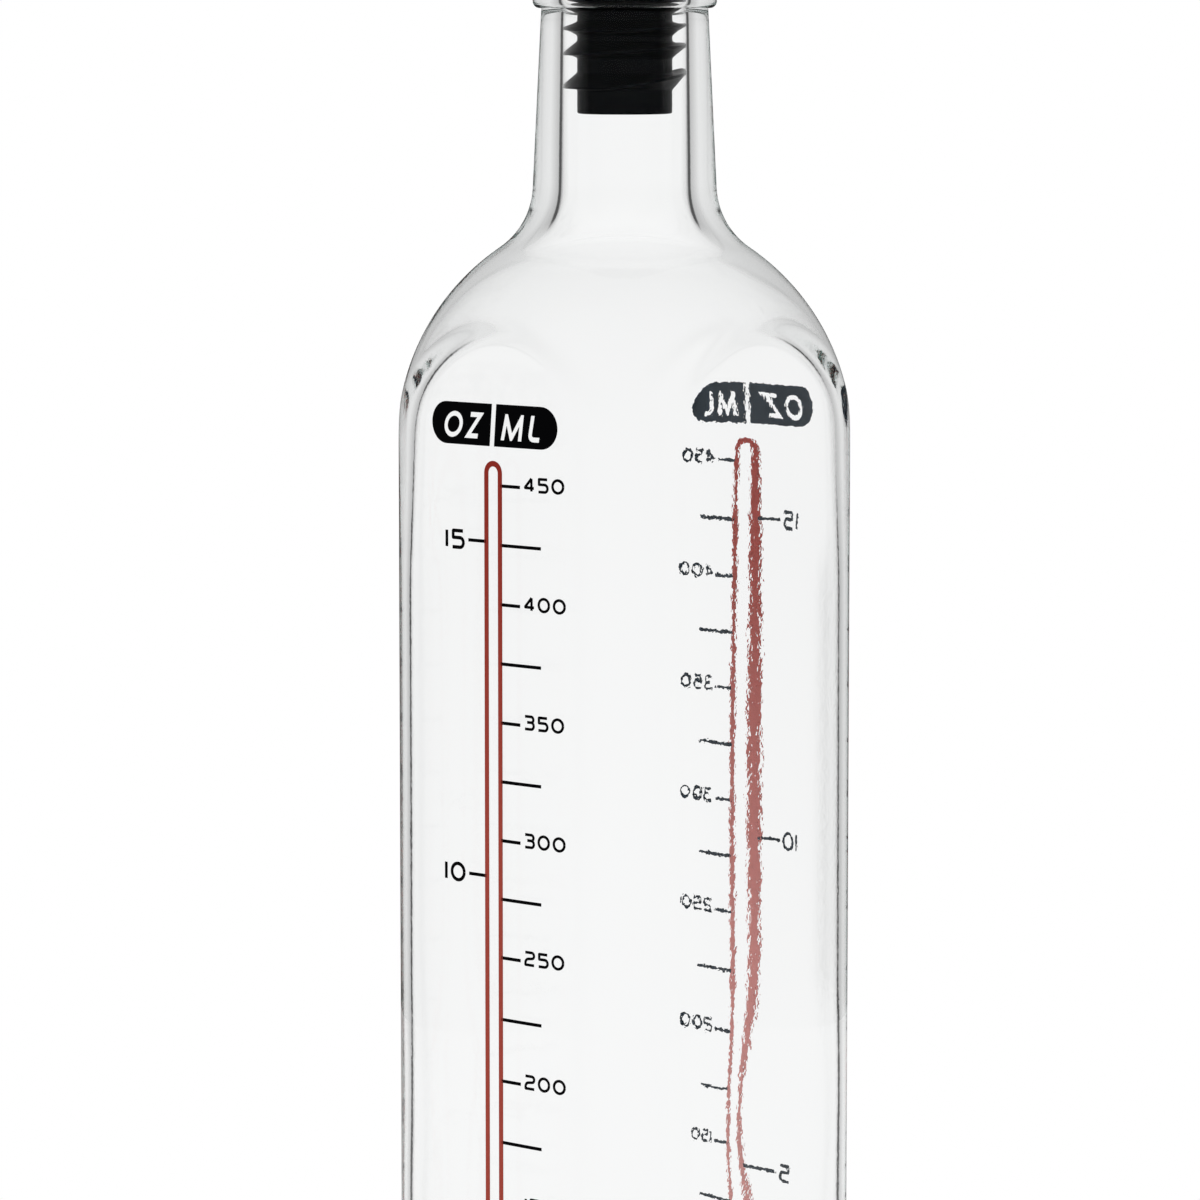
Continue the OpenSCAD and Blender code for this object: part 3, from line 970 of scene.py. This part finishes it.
def trimmed(loop, low, high):
    """Cuts off the pointed corners of a loop above one height and below another."""
    for height, side in ((high, 1), (low, -1)):
        kept = []
        for a, b in zip(loop, loop[1:] + loop[:1]):
            if (height - a.y) * side >= 0:
                kept.append(a)
            if (height - a.y) * (height - b.y) < 0:
                kept.append(a.lerp(b, (height - a.y) / (b.y - a.y)))
        loop = kept
    return loop


# %% The letters
badge_low, badge_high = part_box("front_unit_badge")
badge_middle = (badge_high.z + badge_low.z) / 2
letter_height = 4.05 * mm
letter_pen = 0.75 * mm
letter_lean = 0.2
letter_drop = 0.2 * mm
letter_widths = {"O": 4 * mm, "Z": 2.15 * mm, "M": 3.7 * mm, "L": 2 * mm}
letter_lefts = {"O": -10.4 * mm, "Z": -5.4 * mm, "M": 2 * mm, "L": 7.65 * mm}
m_splay = 0.25 * mm
l_bend = 0.8 * mm
stroke_excess = 1 * mm


def letter_loops():
    tall = letter_height - letter_pen
    o, z, m, l = (letter_widths[key] for key in "OZML")
    o_middle = (o / 2 - letter_pen / 2, tall / 2)
    over, under = tall + stroke_excess, -stroke_excess
    bend = arc((l_bend, l_bend), l_bend, math.pi, 1.5 * math.pi, 7)
    paths = {
        "Z": [(0, tall), (z, tall), (0, 0), (z, 0)],
        "M": [(0, under), (m_splay, tall), (m / 2, 0), (m - m_splay, tall), (m, under)],
        "L": [(0, over)] + bend + [(l, 0)],
    }
    letters = [(letter_lefts["O"], [
        ellipse(o_middle, o, letter_height, 48),
        ellipse(o_middle, o - 2 * letter_pen, letter_height - 2 * letter_pen, 48),
    ])]
    for key, path in paths.items():
        loop = trimmed(pen_outline(path, letter_pen), -letter_pen / 2, tall + letter_pen / 2)
        letters.append((letter_lefts[key], [loop]))
    foot = badge_middle - letter_drop - tall / 2
    return [
        [(left + x + letter_lean * y, foot + y) for x, y in loop]
        for left, loops in letters for loop in loops
    ]


# %% The badge
slot_width = 0.95 * mm
slot_lean = math.tan(math.radians(4.5))


def badge_half(side):
    """One half of the badge: a round end, and a straight end along the slot."""
    radius = (badge_high.z - badge_low.z) / 2
    centre = side * ((badge_high.x - badge_low.x) / 2 - radius)
    end = arc((centre, badge_middle), radius, -math.pi / 2, (side - 0.5) * math.pi, 20)
    slot = side * slot_width / 2
    lean = slot_lean * radius
    return end + [(slot + lean, badge_middle + radius), (slot - lean, badge_middle - radius)]


badge_loops = [badge_half(-1), badge_half(1)] + letter_loops()
badge_print = flat_ink("front_badge_print", badge_loops, black_thickness, black_finish)
print("badge:", len(badge_loops), "loops and", len(badge_print.data.polygons), "faces")

# %% [markdown]
# Both faces carry the same print, so it is drawn once. Each drawing is stood up
# against the front face and cut into upright strips, which can follow the face
# where it falls back towards its corners. A copy that is turned half round goes
# on the back face.

# %% Laying a drawing on its face
strip_width = 0.8 * mm


def stand_up(piece, rise):
    """Turns a drawing that lies flat into the plane of the front face, with the ink facing out."""
    place = Matrix.Translation((0, -half_width - (rise - ink_sink) / 2, 0))
    piece.data.transform(place @ Matrix.Rotation(math.pi / 2, 4, "X"))


def wrapped(piece):
    """Lays a standing drawing on the face, and marks the side of it that looks into the glass."""
    cut = bmesh.new()
    cut.from_mesh(piece.data)
    strips = int(max(abs(v.co.x) for v in cut.verts) / strip_width)
    for k in range(-strips, strips + 1):
        bmesh.ops.bisect_plane(
            cut, geom=cut.verts[:] + cut.edges[:] + cut.faces[:], dist=merge_distance,
            plane_co=(k * strip_width, 0, 0), plane_no=(1, 0, 0),
        )
    for v in cut.verts:
        v.co.y += half_width - (half_width ** square_power - v.co.x ** square_power) ** (1 / square_power)
    cut.normal_update()
    side = cut.faces.layers.float.new("glass_side")
    for face in cut.faces:
        face[side] = 1.0 if face.normal.y > 0.5 else 0.0
    cut.to_mesh(piece.data)
    cut.free()


def turned_copy(piece, name):
    mesh = piece.data.copy()
    mesh.name = name
    mesh.transform(Matrix.Rotation(math.pi, 4, "Z"))
    return linked(name, mesh)


print("strips are", round(strip_width / mm, 1), "mm wide")

# %% Print on both faces
number_print = scale_numbers()
marks_print = joined("front_marks_print", scale_marks(), black_finish)
for drawing, rise in ((tube_print, ink_rise), (badge_print, black_rise), (number_print, black_rise)):
    stand_up(drawing, rise)
for drawing, slot_name, node in (
    (tube_print, "red_ink", "scale_tube"),
    (badge_print, "black_ink", "unit_badge"),
    (marks_print, "black_ink", "scale_marks"),
    (number_print, "black_ink", None),
):
    wrapped(drawing)
    back = turned_copy(drawing, drawing.name.replace("front", "back"))
    settle(drawing, "glass", slot_name, *(["front_" + node] if node else []))
    settle(back, "glass", slot_name, *(["back_" + node] if node else []))

# %% [markdown]
# Most parts of the pourer are round, so each is a profile turned about an axis.
# A turned piece gets its bores afterwards, with a Boolean whose result is kept
# as plain mesh.

# %% Turning a profile
turn_count = 128


def turned(name, profile, finish, warp=None):
    """A profile of points (radius, height), turned about the Z axis. Off the axis it is closed."""
    angles = [2 * math.pi * i / turn_count for i in range(turn_count)]
    rows = [
        [
            (radius * math.cos(a), radius * math.sin(a), height + (warp(radius, height, a) if warp else 0))
            for a in (angles if radius else [0])
        ]
        for radius, height in profile
    ]
    return sheet(name, rows, finish, closed=profile[0][0] > 0)


# %% Rounding the corners of a profile
def rounded_profile(points, steps=4):
    """A profile whose corners (radius, height, round) are rounded where round is over nothing."""
    result = []
    for i, (x, y, r) in enumerate(points):
        here = Vector((x, y))
        if not r:
            result.append((x, y))
            continue
        before = (Vector(points[i - 1][:2]) - here).normalized()
        after = (Vector(points[(i + 1) % len(points)][:2]) - here).normalized()
        half = before.angle(after) / 2
        reach = r / math.tan(half)
        centre = here + (before + after).normalized() * (r / math.sin(half))
        start, end = here + before * reach - centre, here + after * reach - centre
        for k in range(steps + 1):
            middle = start.lerp(end, k / steps).normalized() * r
            result.append((centre.x + middle.x, centre.y + middle.y))
    return result


# %% Boring a hole
bore_crease = math.radians(35)


def bored(piece, x, radius, low, high):
    """Cuts an upright round hole right through a turned piece."""
    finish = piece.data.materials[0]
    drill = turned("drill", [(0, low), (radius, low), (radius, high), (0, high)], finish)
    drill.data.transform(Matrix.Translation((x, 0, 0)))
    cut = piece.modifiers.new("bore", "BOOLEAN")
    cut.operation = "DIFFERENCE"
    cut.solver = "EXACT"
    cut.object = drill
    mesh = kept_mesh(piece)
    piece.modifiers.remove(cut)
    bpy.data.objects.remove(drill)
    piece.data = mesh
    mesh.materials.clear()
    mesh.materials.append(finish)
    mesh.shade_smooth()
    mesh.set_sharp_from_angle(angle=bore_crease)


# %% [markdown]
# The rubber stopper is a tube with four thin fins that press on the glass. The
# neck pushes them out of true, so each one tilts and sags by its own amount. A
# fin is thick at its root and thins outwards in a hollow curve. Above the fins
# a collar fills the mouth, and a flange rests on the lip. The spout passes
# through the middle, and the vent beside it.

# %% Sizes of the stopper
sleeve_low, sleeve_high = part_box("stopper_sleeve")
vent_low, vent_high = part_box("vent_tube")
vent_x = (vent_low.x + vent_high.x) / 2
bore_ease = 0.05 * mm
middle_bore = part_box("spout_tube")[1].y - bore_ease
stopper_radius = 7.45 * mm
collar_radius = bore_radius - 0.3 * mm
collar_low = glass_height - 3.4 * mm
fin_radius = bore_radius - 0.03 * mm
fin_root = 2.6 * mm
fin_edge = 0.4 * mm
fin_fillet = 0.5 * mm
fin_round = 0.12 * mm
fin_hollow = 0.8
fin_depth_shares = (0.255, 0.432, 0.58, 0.788)
fin_heights = [glass_height - share * (glass_height - sleeve_low.z) for share in fin_depth_shares]
# Tilt towards the right of the photograph and sag towards its camera, for each fin
fin_warps = ((0.2 * mm, 0.2 * mm), (0.35 * mm, 0.4 * mm), (0.7 * mm, 0.15 * mm), (1.2 * mm, 0.6 * mm))
warp_power = 1.5
hole_excess = 1 * mm
print("fins at", [round(z / mm, 1) for z in fin_heights], "mm")


# %% The rubber stopper
def fin_warp(radius, height, angle):
    share = max(0, (radius - stopper_radius) / (fin_radius - stopper_radius))
    if not share or height > collar_low:
        return 0
    nearest = min(range(len(fin_heights)), key=lambda i: abs(fin_heights[i] - height))
    tilt, sag = fin_warps[nearest]
    turn = angle - view_bearing
    return share ** warp_power * (tilt * math.cos(turn) + sag * math.cos(2 * turn))


def fin_side(height, side):
    """The under side (-1) or upper side (1) of a fin, from its root to its edge."""
    points = [(stopper_radius, height + side * fin_root / 2, fin_fillet)]
    for share in (0.4, 0.75):
        radius = stopper_radius + (fin_radius - stopper_radius) * share
        thick = fin_root + (fin_edge - fin_root) * share ** fin_hollow
        points.append((radius, height + side * thick / 2, 0))
    return points + [(fin_radius, height + side * fin_edge / 2, fin_round)]


def stopper_profile():
    points = [(middle_bore, sleeve_low.z, 0), (stopper_radius, sleeve_low.z, 0.25 * mm)]
    for z in reversed(fin_heights):
        points += fin_side(z, -1) + fin_side(z, 1)[::-1]
    return rounded_profile(points + [
        (stopper_radius, collar_low, 0.3 * mm),
        (collar_radius, collar_low, 0.4 * mm),
        (collar_radius, glass_height, 0),
        (sleeve_high.x, glass_height, 0.4 * mm),
        (sleeve_high.x, sleeve_high.z, 0.3 * mm),
        (middle_bore, sleeve_high.z, 0),
    ])


stopper = turned("stopper", stopper_profile(), rubber_finish, fin_warp)
bored(stopper, vent_x, vent_high.y, sleeve_low.z - hole_excess, sleeve_high.z + hole_excess)
settle(stopper, "pourer", "black_rubber", "stopper_sleeve")

# %% [markdown]
# The steel pieces are spun and pressed from sheet, so their CAD shapes are
# right, but no real edge is as sharp. Each one is copied from its solid, its
# loose triangles are merged, and its sharp edges get a small round. A copy is
# used because the solid itself is never changed.

# %% Steel pieces
steel_merge = 0.0005 * mm
flat_angle = math.radians(0.5)
sharp_angle = math.radians(40)
crease_angle = math.radians(38)


def with_soft_edges(name, node, reach):
    shape = bmesh.new()
    shape.from_mesh(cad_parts[node].data)
    bmesh.ops.remove_doubles(shape, verts=shape.verts, dist=steel_merge)
    bmesh.ops.dissolve_limit(shape, angle_limit=flat_angle, verts=shape.verts[:], edges=shape.edges[:])
    sharp = [e for e in shape.edges if len(e.link_faces) == 2 and e.calc_face_angle() > sharp_angle]
    bmesh.ops.bevel(
        shape, geom=sharp, offset=reach, offset_type="OFFSET", segments=2, profile=0.5,
        affect="EDGES", clamp_overlap=True,
    )
    bmesh.ops.triangulate(shape, faces=[f for f in shape.faces if len(f.verts) > 4])
    mesh = mesh_of(name, shape, steel_finish)
    mesh.shade_smooth()
    mesh.set_sharp_from_angle(angle=crease_angle)
    return linked(name, mesh)


for node, body, reach in (
    ("spout_base", "pourer", 0.25 * mm),
    ("spout_tube", "pourer", 0.15 * mm),
    ("vent_tube", "pourer", 0.1 * mm),
    ("hinge_bracket", "pourer", 0.15 * mm),
    ("hinge_pin", "pourer", 0.15 * mm),
    ("flap_lid", "flap", 0.25 * mm),
    ("flap_weight", "flap", 0.25 * mm),
):
    settle(with_soft_edges("polished_" + node, node, reach), body, "polished_steel", node)

# %% [markdown]
# The stage. The photograph has a plain white ground, and its clear glass is
# drawn by dark edges beside that ground. A photographer gets them with black
# cards at both sides of the bottle. Here the world has such cards as upright
# dark bands, placed by their angle to the line of sight, so that the glass has
# its edges from the front and from behind. The share of a direction along that
# line is 1 ahead and behind, and 0 at both sides.

# %% Dark bands beside the line of sight
# These three are cosines of twice the angle to the line of sight
band_middle, band_reach, band_end = -0.47, 0.2, -0.72
band_top = 0.6


def side_bands(tree, way):
    """The dark bands in a direction, its share along the line of sight, and its rise."""
    x, y, z = tree.add("ShaderNodeSeparateXYZ", None, {0: way}, output="all")
    along = abs(y * math.cos(view_bearing) - x * math.sin(view_bearing))
    double = along * along * 2 - 1
    dark = ((1 - abs(double - band_middle) / band_reach) * 1.5).clamp()
    falling = (0.5 - double).clamp() * 0.5
    not_beside = ((double - band_end) * 10).clamp()
    not_high = ((band_top - abs(z)) * 5).clamp()
    return falling.math("MAXIMUM", dark) * not_beside * not_high, along, z


def ray(tree, label):
    return tree.add("ShaderNodeLightPath", output=label)


# %% [markdown]
# The camera sees the world as plain white. Rays through glass see it a little
# darker high up and after each fold inside the wall. Mirror rays on glass see it
# nearly black, because they would otherwise fill the wall with light. Rough
# metal sees two wide soft boxes. A faint arch higher up edges the shoulder. Dull
# surfaces get half the light of a white world, and three lamps do the rest.

# %% The world
band_dark = 0.9
arch_middle, arch_reach, arch_low, arch_high = 0.745, 0.05, 0.1, 0.62
arch_share = 0.25
glass_light = 0.955
mirror_light = 0.05
metal_light = 0.3
plain_light = 0.5


def studio_world():
    world = bpy.data.worlds.new("studio")
    world.use_nodes = True
    bpy.context.scene.world = world
    tree = Tree(world.node_tree)
    bands, along, z = side_bands(tree, tree.add("ShaderNodeTexCoord", output="Generated"))
    arch = ((1 - abs(along - arch_middle) / arch_reach) * 1.2).clamp()
    arch = arch * ((z - arch_low) * 9).clamp() * ((arch_high - z) * 6).clamp()
    bright = 1 - bands.math("MAXIMUM", arch * arch_share) * band_dark

    high = ((z + 0.15) * 3).clamp()
    folds = ray(tree, "Glossy Depth").clamp()
    through_glass = bright * (1 - high * 0.08) * (1 - folds * 0.1) * glass_light
    softboxes = ((z + 0.1) * 1.4).clamp() * 0.5 + ((along - 0.55) * 3).clamp() * 0.35
    sharp = ray(tree, "Is Singular Ray")
    in_mirrors = bright * (sharp * mirror_light + (1 - sharp) * (softboxes + metal_light))

    seen, through = ray(tree, "Is Camera Ray"), ray(tree, "Is Transmission Ray")
    mirrored = ray(tree, "Is Glossy Ray")
    other = mirrored * in_mirrors + (1 - mirrored) * plain_light
    strength = seen + (1 - seen) * (through * through_glass + (1 - through) * other)
    shade = tree.add("ShaderNodeBackground", None, {"Color": (1, 1, 1, 1), "Strength": strength})
    tree.add("ShaderNodeOutputWorld", None, {"Surface": shade})
    return world


print("world nodes:", len(studio_world().node_tree.nodes))

# %% [markdown]
# The floor is paper that takes the cruet's shadow near its foot and glows white
# further off, so that no edge shows. The lamps' light doesn't pass through the
# glass, so for rays through glass the floor glows too. It carries the same bands
# as the world, or the dark edges would stop where the floor begins.

# %% The floor
shadow_reach, shadow_fade = 0.1, 0.13
glow_share = 0.75
eye_height = 0.09
side_light, through_light, floor_band = 0.5, 0.455, 0.86
floor_gap = 0.05 * mm


def floor_finish():
    material, tree = finish_named("floor")
    place = tree.add("ShaderNodeTexCoord", output="Object")
    far = tree.add("ShaderNodeVectorMath", {"operation": "LENGTH"}, {0: place}, "Value")
    through = ray(tree, "Is Transmission Ray")
    fade = ((far - shadow_reach) / shadow_fade).clamp().math("MAXIMUM", through * glow_share)
    down = tree.add("ShaderNodeVectorMath", {"operation": "SUBTRACT"}, {0: place, 1: (0, 0, eye_height)})
    bands = side_bands(tree, tree.add("ShaderNodeVectorMath", {"operation": "NORMALIZE"}, {0: down}))[0]
    seen = ray(tree, "Is Camera Ray")
    level_there = side_light + seen * (1 - side_light) + through * (through_light - bands * floor_band)
    paper = tree.add("ShaderNodeBsdfDiffuse", None, {"Color": (0.9, 0.9, 0.9, 1)})
    glow = tree.add("ShaderNodeEmission", None, {"Color": (1, 1, 1, 1), "Strength": level_there})
    mixed = tree.add("ShaderNodeMixShader", None, {"Fac": fade, 1: paper, 2: glow})
    tree.add("ShaderNodeOutputMaterial", None, {"Surface": mixed})
    return material


def floor_disc(radius=0.5, rings=12, sides=96):
    rows = [
        [(x, y, 0) for x, y in ellipse((0, 0), 2 * radius * r / rings, 2 * radius * r / rings, sides)]
        for r in range(rings, 0, -1)
    ]
    return sheet("floor", rows + [[(0, 0, 0)]], floor_finish())


floor = floor_disc()
floor.location.z = cad_box[0].z - floor_gap
print("floor", round(floor.dimensions.x, 2), "m across")

# %% [markdown]
# Three soft lamps light the dull surfaces: a key from the camera's left, a fill
# from its right, and one from behind. Metal and glass don't see them, because
# square lamps would show in the curved pieces. Glass in glass in glass needs
# many bounces, so the limits are high.

# %% The lamps
light_bounces = 64


def soft_lamp(name, bearing, tilt, distance, size, power):
    """A square lamp that looks at the bottle from a bearing and a height, in degrees."""
    lamp = bpy.data.lights.new(name, "AREA")
    lamp.shape = "SQUARE"
    lamp.size = size
    lamp.energy = power
    a, e = math.radians(bearing), math.radians(tilt)
    away = Vector((math.sin(a) * math.cos(e), -math.cos(a) * math.cos(e), math.sin(e)))
    holder = linked(name, lamp)
    holder.location = Vector((0, 0, glass_height / 2)) + away * distance
    holder.rotation_mode = "QUATERNION"
    holder.rotation_quaternion = away.to_track_quat("Z", "Y")
    holder.visible_glossy = False
    holder.visible_transmission = False
    print(name, "at", [round(v, 2) for v in holder.location])


soft_lamp("key_lamp", -10, 42, 1.2, 0.6, 6)
soft_lamp("fill_lamp", 100, 35, 1.3, 0.7, 5)
soft_lamp("back_lamp", 220, 50, 1.3, 0.6, 5)
bpy.context.scene.view_settings.view_transform = "Standard"
bpy.context.scene.cycles.max_bounces = light_bounces
bpy.context.scene.cycles.transmission_bounces = light_bounces
bpy.context.scene.cycles.glossy_bounces = light_bounces
